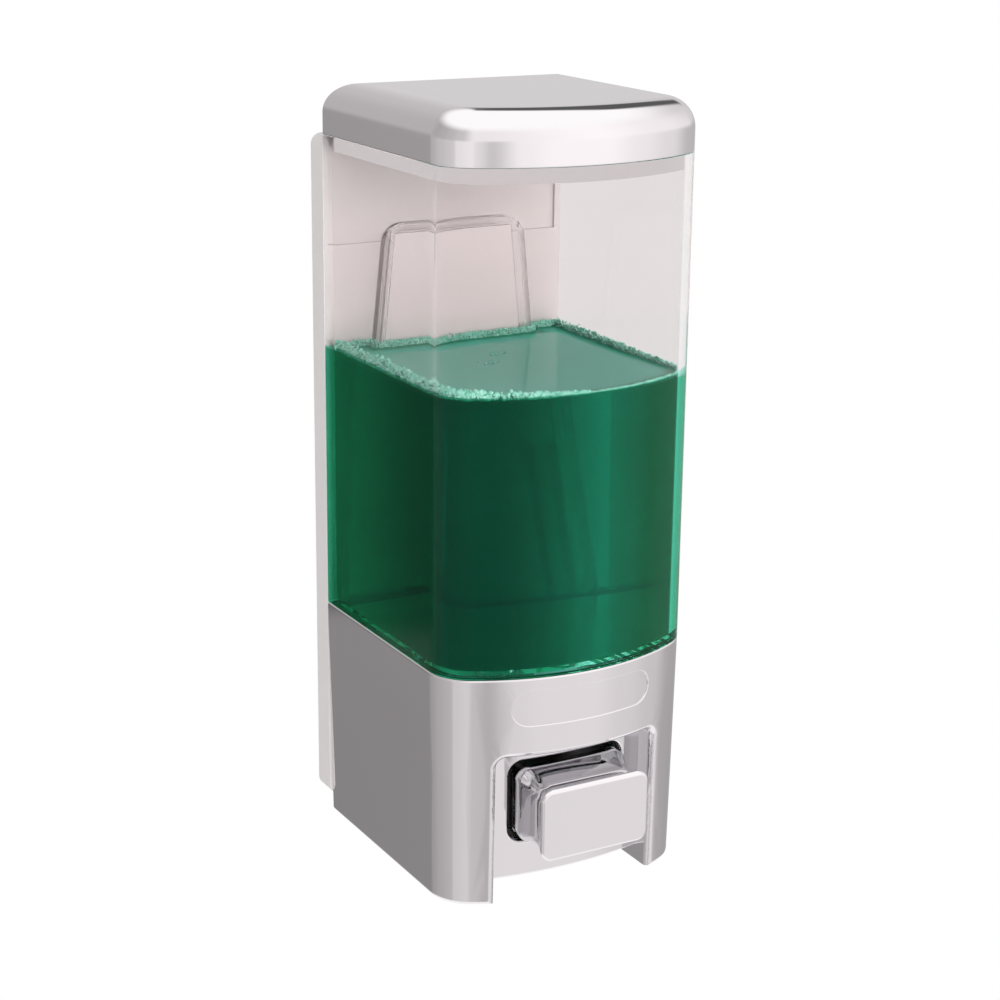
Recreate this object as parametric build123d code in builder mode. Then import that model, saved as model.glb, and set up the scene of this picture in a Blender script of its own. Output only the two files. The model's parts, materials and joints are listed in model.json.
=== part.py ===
from build123d import *
import os
from math import atan2, cos, radians, sin, sqrt, tan

os.makedirs("parts", exist_ok=True)

# All sizes are in millimetres. The origin is on the wall, at the centre of the four wall screws.
# X points right as the user faces the dispenser, Y points into the wall and Z points up.

# Body outline, seen from above
body_width = 75.5
body_depth = 81.0
corner_radius = 13.0
front_radius = 66.0

# Heights of the three stacked pieces
housing_height = 65.0
tank_height = 132.5
lid_height = 14.0

# Wall plate
plate_rise = 5.0
plate_drop = 0.5
plate_thickness = 7.5
plate_skin = 2.2
plate_corner = 3.0
plate_step_drop = 1.7
plate_step_depth = 0.8
plate_step_margin = 3.0
wall_screw_spacing_x = 16.0
wall_screw_spacing_z = 178.0
wall_screw_hole = 4.5
wall_screw_sink = 9.0
wall_screw_boss = 13.0

# Tapered hanging slot in the tank's back, and the tongue that it hangs on
hang_gap = 0.3
slot_top_rise = 104.0
slot_width = 30.0
slot_taper = 6.0
slot_lip = 2.0
slot_undercut = 2.7
slot_head_rise = 1.3
slot_depth = 5.0
pocket_wall = 2.5
pocket_corner = 6.0
tongue_height = 57.0
tongue_fit = 0.25

# Tank and its filling
tank_wall = 2.6
tank_back = 3.0
tank_floor = 1.8
spigot_depth = 5.0
spigot_wall = 1.6
spigot_fit = 0.3
soap_height = 73.2
soap_film = 0.1

# Lid
lid_edge = 8.0
lid_roof = 2.4
skirt_depth = 4.2
skirt_wall = 1.8
skirt_fit = 0.35

# Housing
housing_wall = 2.2
housing_draft = 1.0
housing_rim = 0.8
housing_foot = 1.2
recess_width = 48.0
recess_height = 42.5
recess_depth = 9.3
recess_corner = 3.0
recess_edge = 1.6
panel_radius = 110.0
panel_rise = 4.3
panel_edge = 0.8
pad_width = 42.0
pad_height = 9.6
pad_rise = 56.2
pad_depth = 0.4
pad_edge = 0.3
leg_depth = 7.0
leg_height = 9.0

# Button, guide frame and window
button_rise = 26.3
button_proud = 5.4
button_travel = 10.0
button_face_width = 34.2
button_face_height = 21.4
button_face_drop = 1.2
button_waist_width = 30.6
button_waist_height = 18.4
button_waist_drop = 0.6
button_waist_depth = 6.5
button_lip_width = 33.2
button_lip_height = 21.2
button_lip_depth = 12.7
button_corner = 3.6
button_edge = 1.6
button_front_wall = 2.2
button_hollow_width = 25.0
button_hollow_height = 13.4
button_tab_width = 22.0
button_tab_reach = 1.8
button_tab_thickness = 2.0
button_tab_gap = 0.3
window_gap = 1.2
window_corner = 4.2
window_edge = 0.6
guide_gap = 0.4
guide_wall = 1.8
guide_front_gap = 0.6
guide_rear_reach = 2.0
guide_ear_thickness = 2.0
guide_ear_width = 6.0
guide_ear_height = 9.0
guide_post_radius = 2.7
guide_post_length = 5.0
guide_post_offset = 3.4

# Pump
bore_radius = 8.0
cylinder_wall = 2.0
chamber_length = 31.0
chamber_end = 2.5
cap_thickness = 2.5
cap_wall = 1.8
cap_skirt = 6.0
cap_fit = 0.1
cap_button_gap = 1.5
rod_radius = 3.0
rod_gap = 0.05
rod_fit = 0.02
rod_socket_wall = 1.6
rod_socket_depth = 12.0
piston_length = 7.0
piston_gap = 0.35
piston_rest_gap = 0.4
piston_spigot_length = 3.0
piston_spigot_radius = 4.4
seal_width = 3.0
seal_depth = 2.4
seal_fit = 0.03
seal_seat = 0.05
spring_radius = 6.0
spring_wire = 1.2
spring_end_gap = 0.05

# Inlet tower
inlet_port_radius = 4.0
port_back_offset = 7.0
tower_radius = 8.5
tower_bore = 6.5
tower_floor_rise = 15.7
cup_radius = 12.0
cup_wall = 2.5
cup_depth = 6.0
seat_thickness = 2.0
seat_fit = 0.1
seat_hole_radius = 1.1
seat_hole_count = 6
seat_hole_circle = 3.4
valve_stem_radius = 1.2
valve_stem_gap = 0.1
valve_bulb_radius = 1.8
valve_bulb_height = 1.6
valve_skirt_radius = 5.4
valve_skirt_height = 1.2
gasket_thickness = 2.0
gasket_bore = 4.2
stub_radius = 6.5
stub_bore = 4.0

# Outlet under the chamber
outlet_boss_radius = 7.0
outlet_boss_length = 9.1
outlet_port_radius = 2.2
outlet_port_length = 3.5
outlet_bore = 4.0
ball_radius = 3.2
ball_gap = 0.3
outlet_spring_radius = 2.6
outlet_spring_wire = 0.6
nozzle_seal_thickness = 1.2
nozzle_seal_bore = 4.4
nozzle_skirt_wall = 1.7
nozzle_skirt_height = 4.0
nozzle_fit = 0.1
nozzle_spring_seat = 2.5
nozzle_floor = 1.5
nozzle_spout_radius = 3.8
nozzle_spout_bore = 1.8
nozzle_spout_rise = 1.2

# Screws and the posts that they go into
screw_radius = 1.5
screw_fit = 0.02
screw_gap = 0.3
screw_head_radius = 3.0
screw_head_height = 2.2
screw_grip = 8.0
screw_slot_width = 0.8
screw_slot_length = 3.6
screw_slot_depth = 1.1
post_radius = 3.6
post_blind = 1.5
housing_post_inset = 6.35
housing_post_rear = 14.0
housing_post_front = 52.0
housing_post_drop = 9.5
column_radius = 4.6
column_length = 6.5
pump_post_x = 17.0
pump_post_drop = 9.5
pump_ear_thickness = 3.0
pump_ear_width = 9.0

# A cut runs past the face that it opens by this much
past = 2.0

# Places that follow from the sizes above
plate_height = housing_height + tank_height - plate_rise - plate_drop
back_y = -(plate_thickness + hang_gap)
front_y = back_y - body_depth
housing_bottom = -(plate_height / 2 + plate_rise)
housing_top = housing_bottom + housing_height
tank_top = housing_top + tank_height
floor_under = housing_top
floor_top = floor_under + tank_floor
slot_top = housing_top + slot_top_rise
pocket_top = slot_top + slot_head_rise + pocket_wall

front_centre_y = front_y + front_radius
corner_x = body_width / 2 - corner_radius
corner_y = front_centre_y - sqrt((front_radius - corner_radius) ** 2 - corner_x**2)
corner_turn = atan2(corner_y - front_centre_y, corner_x)

panel_y = front_y + recess_depth
panel_centre_y = panel_y + panel_radius
recess_top = housing_bottom + recess_height
leg_x = (recess_width + housing_wall) / 2


def panel_back(x):
    """The depth of the bowed panel's rear face at distance x from the middle."""
    return panel_centre_y - sqrt((panel_radius - housing_wall) ** 2 - x**2)


leg_spots = [(side * leg_x, panel_back(leg_x) + leg_depth / 2 - past) for side in (-1, 1)]
axis_z = housing_bottom + button_rise
face_y = front_y - button_proud
tab_y = panel_back(button_tab_width / 2) + button_tab_gap
button_rear_y = tab_y + button_tab_thickness
guide_rear_y = button_rear_y + button_travel + guide_rear_reach
guide_half_width = button_lip_width / 2 + guide_gap
guide_half_height = button_lip_height / 2 + button_tab_reach + guide_gap
guide_post_x = guide_half_width + guide_wall + guide_post_offset
guide_post_y = panel_back(guide_post_x) + guide_post_length
guide_front_y = panel_back(guide_half_width + guide_wall) + guide_front_gap
guide_post_spots = [(side * guide_post_x, axis_z) for side in (-1, 1)]

cap_front_y = button_rear_y + button_travel + cap_button_gap
cylinder_front_y = cap_front_y + cap_thickness
cylinder_radius = bore_radius + cylinder_wall
chamber_rear_y = cylinder_front_y + chamber_length
piston_front_y = cylinder_front_y + piston_rest_gap
piston_rear_y = piston_front_y + piston_length
port_y = chamber_rear_y - port_back_offset

pump_post_end = floor_under - pump_post_drop
pump_ear_under = pump_post_end - pump_ear_thickness
cup_floor = pump_post_end - cup_depth
seat_top = cup_floor + seat_thickness
stub_end = seat_top + gasket_thickness
cup_bore = cup_radius - cup_wall

boss_end = axis_z - bore_radius - outlet_boss_length
outlet_seat_z = axis_z - bore_radius - outlet_port_length
ball_z = outlet_seat_z - sqrt(ball_radius**2 - outlet_port_radius**2) - ball_gap
nozzle_face = boss_end - nozzle_seal_thickness
spring_ledge = nozzle_face - nozzle_spring_seat
nozzle_radius = outlet_boss_radius + nozzle_fit + nozzle_skirt_wall
spout_end = housing_bottom + nozzle_spout_rise

housing_post_end = floor_under - housing_post_drop
housing_post_x = body_width / 2 - housing_post_inset
housing_post_spots = [
    (side * housing_post_x, back_y - depth)
    for side in (-1, 1)
    for depth in (housing_post_rear, housing_post_front)
]
pump_post_spots = [(side * pump_post_x, port_y) for side in (-1, 1)]
port_axis = Axis((0, port_y, 0), (0, 0, 1))


def facing(y):
    """A sketch plane parallel to the wall at depth y, with X to the right, Z up and the user in front."""
    return Plane.XZ.offset(-y)


def level(z):
    """A horizontal sketch plane at height z."""
    return Plane.XY.offset(z)


def body_outline(inset=0.0, back=0.0, mode=Mode.ADD):
    """The body's plan: flat back, straight sides, round front corners and a bowed front."""
    half = body_width / 2 - inset
    radius = corner_radius - inset
    touch_x = corner_x + radius * cos(corner_turn)
    touch_y = corner_y + radius * sin(corner_turn)
    middle_x = corner_x + radius * cos(corner_turn / 2)
    middle_y = corner_y + radius * sin(corner_turn / 2)
    with BuildLine() as outline:
        Polyline((-half, corner_y), (-half, back_y - back), (half, back_y - back), (half, corner_y))
        ThreePointArc((half, corner_y), (middle_x, middle_y), (touch_x, touch_y))
        ThreePointArc((touch_x, touch_y), (0, front_y + inset), (-touch_x, touch_y))
        ThreePointArc((-touch_x, touch_y), (-middle_x, middle_y), (-half, corner_y))
    make_face(outline.edges(), mode=mode)


def tapered_outline(top_width, top, bottom):
    """A symmetric shape that widens downwards by the slot's taper on each side."""
    half = top_width / 2
    low = half + (top - bottom) * tan(radians(slot_taper))
    with BuildLine() as outline:
        Polyline((-half, top), (half, top), (low, bottom), (-low, bottom), close=True)
    make_face(outline.edges())


def housing_inset(z):
    """How far the housing's sides and front have drawn in at height z."""
    return housing_draft * (housing_top - z) / housing_height


def drafted_body(inset, back, bottom, top):
    """The body's plan carried from bottom to top, drawn in towards the bottom."""
    with BuildPart() as body:
        for z in (bottom, top):
            with BuildSketch(level(z)):
                body_outline(inset + housing_inset(z), back)
        loft(ruled=True)
    return body.part


def before_panel(half_width, radius, bottom, top):
    """What lies in front of the bowed panel surface of the given radius, between two heights."""
    edge_y = panel_centre_y - sqrt(radius**2 - half_width**2)
    front = front_y - past
    with BuildPart() as space:
        with BuildSketch(level(bottom)):
            with BuildLine():
                left = -half_width
                right = half_width
                Polyline((left, edge_y), (left, front), (right, front), (right, edge_y))
                ThreePointArc((right, edge_y), (0, panel_centre_y - radius), (left, edge_y))
            make_face()
        extrude(amount=top - bottom)
    return space


def screw_at(x, y, z, length):
    """A pan head screw that points up, with the underside of its head at height z."""
    with BuildSketch(level(z)) as head:
        with Locations((x, y)):
            Circle(screw_head_radius)
    extrude(head.sketch, amount=-screw_head_height)
    with BuildSketch(level(z)) as shank:
        with Locations((x, y)):
            Circle(screw_radius)
    extrude(shank.sketch, amount=length)
    with BuildSketch(level(z - screw_head_height)) as drive:
        with Locations((x, y)):
            Rectangle(screw_slot_length, screw_slot_width)
            Rectangle(screw_slot_width, screw_slot_length)
    extrude(drive.sketch, amount=screw_slot_depth, mode=Mode.SUBTRACT)


def save(builder, name):
    """Label a finished piece and write it."""
    builder.part.label = name
    export_step(builder.part, f"parts/{name}.step")


# Wall plate: a shallow tray that opens towards the wall, with a boss for each screw
with BuildPart() as wall_plate:
    with BuildSketch(facing(0)):
        RectangleRounded(body_width, plate_height, plate_corner)
    extrude(amount=plate_thickness)
    with BuildSketch(facing(0)):
        Rectangle(body_width - 2 * plate_skin, plate_height - 2 * plate_skin)
    extrude(amount=plate_thickness - plate_skin, mode=Mode.SUBTRACT)
    with BuildSketch(facing(0)):
        with GridLocations(wall_screw_spacing_x, wall_screw_spacing_z, 2, 2):
            Circle(wall_screw_boss / 2)
    extrude(amount=plate_thickness - plate_skin / 2)
    step_bottom = slot_top - plate_step_drop
    step_top = plate_height / 2 - plate_step_margin
    with BuildSketch(facing(-plate_thickness)):
        with Locations((0, (step_bottom + step_top) / 2)):
            Rectangle(body_width - 2 * plate_step_margin, step_top - step_bottom)
    extrude(amount=-plate_step_depth, mode=Mode.SUBTRACT)
    with Locations(facing(-plate_thickness)):
        with GridLocations(wall_screw_spacing_x, wall_screw_spacing_z, 2, 2):
            CounterSinkHole(wall_screw_hole / 2, wall_screw_sink / 2, counter_sink_angle=90)
save(wall_plate, "wall_plate")

# Hanger: a tapered tongue with a T section, fixed to the plate's front
with BuildPart() as hanger:
    tongue_bottom = slot_top - tongue_height
    with BuildSketch(facing(-plate_thickness)):
        tapered_outline(slot_width - 2 * tongue_fit, slot_top - tongue_fit, tongue_bottom)
    extrude(amount=hang_gap + slot_lip + tongue_fit)
    with BuildSketch(facing(back_y - slot_lip - tongue_fit)):
        head_width = slot_width + 2 * slot_undercut - 2 * tongue_fit
        tapered_outline(head_width, slot_top + slot_head_rise - tongue_fit, tongue_bottom)
    extrude(amount=slot_depth - slot_lip - 2 * tongue_fit)
save(hanger, "hanger")

# Tank: clear walls and floor, a spigot into the housing, the hanging pocket, the outlet and screw posts
with BuildPart() as tank:
    with BuildSketch(level(housing_top)):
        body_outline()
    extrude(amount=tank_height)
    with BuildSketch(level(floor_top)):
        body_outline(tank_wall, tank_back)
    extrude(amount=tank_top - floor_top, mode=Mode.SUBTRACT)
    with BuildSketch(level(housing_top - spigot_depth)):
        spigot_inset = housing_wall + spigot_fit
        body_outline(spigot_inset, spigot_inset)
        body_outline(spigot_inset + spigot_wall, spigot_inset + spigot_wall, mode=Mode.SUBTRACT)
    extrude(amount=spigot_depth)
    with BuildSketch(facing(back_y)) as pocket_shape:
        tapered_outline(slot_width + 2 * (slot_undercut + pocket_wall), pocket_top, housing_top)
        fillet(pocket_shape.vertices().group_by(Axis.Z)[-1], pocket_corner)
    extrude(amount=slot_depth + pocket_wall)
    with BuildSketch(facing(back_y)):
        tapered_outline(slot_width, slot_top, housing_top)
    extrude(amount=slot_lip, mode=Mode.SUBTRACT)
    with BuildSketch(facing(back_y - slot_lip)):
        tapered_outline(slot_width + 2 * slot_undercut, slot_top + slot_head_rise, housing_top)
    extrude(amount=slot_depth - slot_lip, mode=Mode.SUBTRACT)
    with BuildSketch(level(floor_under)):
        with Locations((0, port_y)):
            Circle(stub_radius)
    extrude(amount=stub_end - floor_under)
    with BuildSketch(level(stub_end)):
        with Locations((0, port_y)):
            Circle(stub_bore)
    extrude(amount=floor_top - stub_end, mode=Mode.SUBTRACT)
    for spots, end in ((housing_post_spots, housing_post_end), (pump_post_spots, pump_post_end)):
        with BuildSketch(level(floor_under)):
            with Locations(*spots):
                Circle(post_radius)
        extrude(amount=end - floor_under)
        with BuildSketch(level(end)):
            with Locations(*spots):
                Circle(screw_radius + screw_fit)
        extrude(amount=screw_grip + post_blind, mode=Mode.SUBTRACT)
save(tank, "tank")

# Soap: the liquid up to its level, clear of the walls and of the hanging pocket by a thin film
with BuildPart() as soap:
    with BuildSketch(level(floor_top + soap_film)):
        body_outline(tank_wall + soap_film, tank_back + soap_film)
    extrude(amount=soap_height - soap_film)
    with BuildSketch(facing(back_y)):
        film_width = 2 * (slot_undercut + pocket_wall + soap_film / cos(radians(slot_taper)))
        tapered_outline(slot_width + film_width, pocket_top, housing_top)
    extrude(amount=slot_depth + pocket_wall + soap_film, mode=Mode.SUBTRACT)
save(soap, "soap")

# Lid: a rounded cap whose skirt plugs into the tank
with BuildPart() as lid:
    with BuildSketch(level(tank_top)):
        body_outline()
    extrude(amount=lid_height)
    fillet(lid.faces().sort_by(Axis.Z)[-1].edges(), lid_edge)
    with BuildSketch(level(tank_top - skirt_depth)):
        body_outline(tank_wall + skirt_fit, tank_back + skirt_fit)
    extrude(amount=skirt_depth)
    hollow_inset = skirt_fit + skirt_wall
    with BuildSketch(level(tank_top - skirt_depth)):
        body_outline(tank_wall + hollow_inset, tank_back + hollow_inset)
    extrude(amount=skirt_depth + lid_height - lid_roof, mode=Mode.SUBTRACT)
save(lid, "lid")

# Housing: a drafted shell with a recess in its front, the bowed panel with the window, and screw columns
housing_block = drafted_body(0, 0, housing_bottom, housing_top)
housing_cavity = drafted_body(housing_wall, housing_wall, housing_bottom, housing_top)
recess_walls = before_panel(
    recess_width / 2 + housing_wall, panel_radius - housing_wall, housing_bottom, recess_top + housing_wall
)
recess_space = before_panel(recess_width / 2, panel_radius, housing_bottom - past, recess_top)
with recess_space:
    fillet(recess_space.edges().filter_by(Axis.Y).group_by(Axis.Z)[-1], recess_corner)
with BuildPart() as recess_shell:
    add(recess_walls.part)
    add(housing_block, mode=Mode.INTERSECT)
with BuildPart() as pad_space:
    with BuildSketch(facing(front_y - past)):
        with Locations((0, housing_bottom + pad_rise)):
            SlotOverall(pad_width, pad_height)
    extrude(amount=-(recess_depth + past))
    add(drafted_body(pad_depth, 0, housing_bottom, housing_top), mode=Mode.SUBTRACT)

with BuildPart() as rounded_block:
    add(housing_block)
    fillet(rounded_block.faces().sort_by(Axis.Z)[0].edges(), housing_foot)
with BuildPart() as foot_trim:
    with BuildSketch(level(housing_bottom - past)):
        body_outline(-past, -past)
    extrude(amount=past + housing_foot)
    add(rounded_block.part, mode=Mode.SUBTRACT)

with BuildPart() as housing:
    add(housing_block)
    fillet(housing.faces().sort_by(Axis.Z)[-1].edges(), housing_rim)
    add(housing_cavity, mode=Mode.SUBTRACT)
    add(recess_shell.part)
    with BuildSketch(facing(panel_y)):
        with Locations(*guide_post_spots):
            Circle(guide_post_radius)
    extrude(amount=panel_y - guide_post_y)
    add(recess_space.part, mode=Mode.SUBTRACT)
    recess_rim = housing.edges().filter_by(Axis.Y, reverse=True)
    recess_rim = recess_rim.filter_by_position(Axis.X, -recess_width / 2 - past, recess_width / 2 + past)
    recess_rim = recess_rim.filter_by_position(Axis.Y, front_y, panel_y - past)
    recess_rim = recess_rim.filter_by_position(Axis.Z, housing_bottom + panel_rise, recess_top + past)
    fillet(recess_rim, recess_edge)
    add(foot_trim.part, mode=Mode.SUBTRACT)
    add(pad_space.part, mode=Mode.SUBTRACT)
    pad_middle = housing_bottom + pad_rise
    pad_reach = pad_height / 2 + pad_edge
    pad_rim = housing.edges().filter_by_position(Axis.Z, pad_middle - pad_reach, pad_middle + pad_reach)
    pad_rim = pad_rim.filter_by_position(Axis.X, -pad_width / 2 - pad_edge, pad_width / 2 + pad_edge)
    pad_rim = pad_rim.filter_by_position(Axis.Y, front_y, panel_y - recess_edge)
    pad_sides = pad_rim.filter_by(GeomType.CIRCLE).sort_by(Axis.Y)[:2]
    pad_ends = pad_rim.filter_by(GeomType.BSPLINE).sort_by(Axis.Y)[:2]
    fillet(pad_sides + pad_ends, pad_edge)
    with BuildSketch(level(housing_bottom)):
        with Locations((0, panel_y)):
            Rectangle(recess_width, 2 * recess_depth)
    extrude(amount=panel_rise, mode=Mode.SUBTRACT)
    with BuildSketch(level(housing_bottom)):
        with Locations(*leg_spots):
            Rectangle(housing_wall, leg_depth)
    extrude(amount=leg_height)
    panel_bottom = housing_bottom + panel_rise
    panel_arcs = housing.edges().filter_by(GeomType.CIRCLE)
    panel_foot = panel_arcs.filter_by_position(Axis.Z, panel_bottom - panel_edge, panel_bottom + panel_edge)
    fillet(panel_foot.sort_by(Axis.Y)[0], panel_edge)
    with BuildSketch(facing(panel_y - past)):
        with Locations((0, axis_z)):
            RectangleRounded(
                button_lip_width + 2 * window_gap, button_lip_height + 2 * window_gap, window_corner
            )
    extrude(amount=-(past + recess_depth), mode=Mode.SUBTRACT)
    panel_front = housing.edges().filter_by_position(Axis.Y, panel_y - past, panel_back(0) - window_edge)
    window_reach = button_lip_width / 2 + window_gap + past
    window_rim = panel_front.filter_by_position(Axis.X, -window_reach, window_reach)
    window_bottom = axis_z - button_lip_height / 2 - window_gap
    fillet(window_rim.filter_by_position(Axis.Z, window_bottom - past, recess_top - past), window_edge)
    with BuildSketch(facing(guide_post_y)):
        with Locations(*guide_post_spots):
            Circle(screw_radius + screw_fit)
    extrude(amount=guide_post_length, mode=Mode.SUBTRACT)
    with BuildSketch(level(housing_post_end)):
        with Locations(*housing_post_spots):
            Circle(column_radius)
    extrude(amount=-column_length)
    with BuildSketch(level(housing_post_end)):
        with Locations(*housing_post_spots):
            Circle(screw_radius + screw_gap)
    extrude(amount=-column_length, mode=Mode.SUBTRACT)
save(housing, "housing")

# Button: a capped sleeve with a drawn-in waist, stop tabs behind the panel and a socket for the rod
with BuildPart() as button:
    for depth, width, height, drop in (
        (0, button_face_width, button_face_height, button_face_drop),
        (button_waist_depth, button_waist_width, button_waist_height, button_waist_drop),
        (button_lip_depth, button_lip_width, button_lip_height, 0),
    ):
        with BuildSketch(facing(face_y + depth)):
            with Locations((0, axis_z - drop)):
                RectangleRounded(width, height, button_corner)
    loft()
    fillet(button.faces().sort_by(Axis.Y)[0].edges(), button_edge)
    with BuildSketch(facing(face_y + button_lip_depth)):
        with Locations((0, axis_z)):
            RectangleRounded(button_lip_width, button_lip_height, button_corner)
    extrude(amount=face_y + button_lip_depth - button_rear_y)
    with BuildSketch(facing(tab_y)):
        with Locations((0, axis_z)):
            Rectangle(button_tab_width, button_lip_height + 2 * button_tab_reach)
    extrude(amount=-button_tab_thickness)
    hollow_y = face_y + button_front_wall
    with BuildSketch(facing(hollow_y)):
        with Locations((0, axis_z)):
            Rectangle(button_hollow_width, button_hollow_height)
    extrude(amount=hollow_y - button_rear_y, mode=Mode.SUBTRACT)
    with BuildSketch(facing(hollow_y)):
        with Locations((0, axis_z)):
            Circle(rod_radius + rod_fit + rod_socket_wall)
            Circle(rod_radius + rod_fit, mode=Mode.SUBTRACT)
    extrude(amount=-rod_socket_depth)
save(button, "button")

# Guide frame: a sleeve round the button's travel, on two ears
with BuildPart() as guide_frame:
    with BuildSketch(facing(guide_rear_y)):
        with Locations((0, axis_z)):
            Rectangle(2 * (guide_half_width + guide_wall), 2 * (guide_half_height + guide_wall))
    extrude(amount=guide_rear_y - guide_front_y)
    with BuildSketch(facing(guide_post_y + guide_ear_thickness)):
        with Locations((0, axis_z)):
            Rectangle(2 * guide_post_x + guide_ear_width, guide_ear_height)
    extrude(amount=guide_ear_thickness)
    with BuildSketch(facing(guide_rear_y)):
        with Locations((0, axis_z)):
            Rectangle(2 * guide_half_width, 2 * guide_half_height)
    extrude(amount=guide_rear_y - guide_front_y, mode=Mode.SUBTRACT)
    with BuildSketch(facing(guide_post_y + guide_ear_thickness)):
        with Locations(*guide_post_spots):
            Circle(screw_radius + screw_gap)
    extrude(amount=guide_ear_thickness, mode=Mode.SUBTRACT)
save(guide_frame, "guide_frame")

# Pump body: the cylinder, the inlet tower with its cup and ears, and the outlet boss
with BuildPart() as pump_body:
    with BuildSketch(facing(cylinder_front_y)):
        with Locations((0, axis_z)):
            Circle(cylinder_radius)
    extrude(amount=cylinder_front_y - chamber_rear_y - chamber_end)
    with BuildSketch(level(axis_z)):
        with Locations((0, port_y)):
            Circle(tower_radius)
    extrude(amount=cup_floor - axis_z)
    with BuildSketch(level(cup_floor - cup_wall)):
        with Locations((0, port_y)):
            Circle(cup_radius)
    extrude(amount=cup_depth + cup_wall)
    with BuildSketch(level(pump_ear_under)):
        with Locations((0, port_y)):
            SlotCenterToCenter(2 * pump_post_x, pump_ear_width)
    extrude(amount=pump_ear_thickness)
    with BuildSketch(level(boss_end)):
        with Locations((0, port_y)):
            Circle(outlet_boss_radius)
    extrude(amount=axis_z - boss_end)
    with BuildSketch(facing(cylinder_front_y)):
        with Locations((0, axis_z)):
            Circle(bore_radius)
    extrude(amount=-chamber_length, mode=Mode.SUBTRACT)
    for bottom, top, radius in (
        (axis_z, axis_z + tower_floor_rise, inlet_port_radius),
        (axis_z + tower_floor_rise, cup_floor, tower_bore),
        (cup_floor, pump_post_end, cup_bore),
        (outlet_seat_z, axis_z, outlet_port_radius),
        (boss_end, outlet_seat_z, outlet_bore),
    ):
        with BuildSketch(level(bottom)):
            with Locations((0, port_y)):
                Circle(radius)
        extrude(amount=top - bottom, mode=Mode.SUBTRACT)
    with BuildSketch(level(pump_ear_under)):
        with Locations(*pump_post_spots):
            Circle(screw_radius + screw_gap)
    extrude(amount=pump_ear_thickness, mode=Mode.SUBTRACT)
save(pump_body, "pump_body")

# Pump cap: closes the cylinder's front and lets the rod through
with BuildPart() as pump_cap:
    with BuildSketch(facing(cap_front_y)):
        with Locations((0, axis_z)):
            Circle(cylinder_radius + cap_fit + cap_wall)
    extrude(amount=-(cap_thickness + cap_skirt))
    with BuildSketch(facing(cylinder_front_y)):
        with Locations((0, axis_z)):
            Circle(cylinder_radius + cap_fit)
    extrude(amount=-cap_skirt, mode=Mode.SUBTRACT)
    with BuildSketch(facing(cap_front_y)):
        with Locations((0, axis_z)):
            Circle(rod_radius + rod_gap)
    extrude(amount=-cap_thickness, mode=Mode.SUBTRACT)
save(pump_cap, "pump_cap")

# Plunger: the rod, the piston with its seal groove and the spigot that centres the spring
seal_y = piston_front_y + (piston_length - seal_width) / 2
with BuildPart() as plunger:
    with BuildSketch(facing(piston_front_y)):
        with Locations((0, axis_z)):
            Circle(rod_radius)
    extrude(amount=piston_front_y - hollow_y)
    with BuildSketch(facing(piston_front_y)):
        with Locations((0, axis_z)):
            Circle(bore_radius - piston_gap)
    extrude(amount=-piston_length)
    with BuildSketch(facing(seal_y)):
        with Locations((0, axis_z)):
            Circle(bore_radius)
            Circle(bore_radius - seal_depth - seal_seat, mode=Mode.SUBTRACT)
    extrude(amount=-seal_width, mode=Mode.SUBTRACT)
    with BuildSketch(facing(piston_rear_y)):
        with Locations((0, axis_z)):
            Circle(piston_spigot_radius)
    extrude(amount=-piston_spigot_length)
save(plunger, "plunger")

# Piston seal: fills the groove and runs in the bore
with BuildPart() as piston_seal:
    with BuildSketch(facing(seal_y)):
        with Locations((0, axis_z)):
            Circle(bore_radius - seal_fit)
            Circle(bore_radius - seal_depth, mode=Mode.SUBTRACT)
    extrude(amount=-seal_width)
save(piston_seal, "piston_seal")

# Return spring: hidden in the chamber, so it is the sleeve that its coils fill
with BuildPart() as return_spring:
    with BuildSketch(facing(piston_rear_y + spring_end_gap)):
        with Locations((0, axis_z)):
            Circle(spring_radius)
            Circle(spring_radius - spring_wire, mode=Mode.SUBTRACT)
    extrude(amount=piston_rear_y + 2 * spring_end_gap - chamber_rear_y)
save(return_spring, "return_spring")

# Inlet seat: a perforated disc in the cup
with BuildPart() as inlet_seat:
    with BuildSketch(level(cup_floor)):
        with Locations((0, port_y)):
            Circle(cup_bore - seat_fit)
            Circle(valve_stem_radius + valve_stem_gap, mode=Mode.SUBTRACT)
            with PolarLocations(seat_hole_circle, seat_hole_count):
                Circle(seat_hole_radius, mode=Mode.SUBTRACT)
    extrude(amount=seat_thickness)
save(inlet_seat, "inlet_seat")

# Inlet valve: a soft umbrella under the disc, held by its stem and bulb
with BuildPart() as inlet_valve:
    with BuildSketch(facing(port_y)):
        with BuildLine():
            Polyline(
                (0, cup_floor - valve_skirt_height),
                (valve_skirt_radius, cup_floor),
                (valve_stem_radius, cup_floor),
                (valve_stem_radius, seat_top),
                (valve_bulb_radius, seat_top),
                (0, seat_top + valve_bulb_height),
                close=True,
            )
        make_face()
    revolve(axis=port_axis)
save(inlet_valve, "inlet_valve")

# Inlet gasket: between the disc and the tank's outlet
with BuildPart() as inlet_gasket:
    with BuildSketch(level(seat_top)):
        with Locations((0, port_y)):
            Circle(cup_bore - seat_fit)
            Circle(gasket_bore, mode=Mode.SUBTRACT)
    extrude(amount=gasket_thickness)
save(inlet_gasket, "inlet_gasket")

# Outlet ball, just clear of its seat
with BuildPart() as outlet_ball:
    with Locations((0, port_y, ball_z)):
        Sphere(ball_radius)
save(outlet_ball, "outlet_ball")

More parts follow.
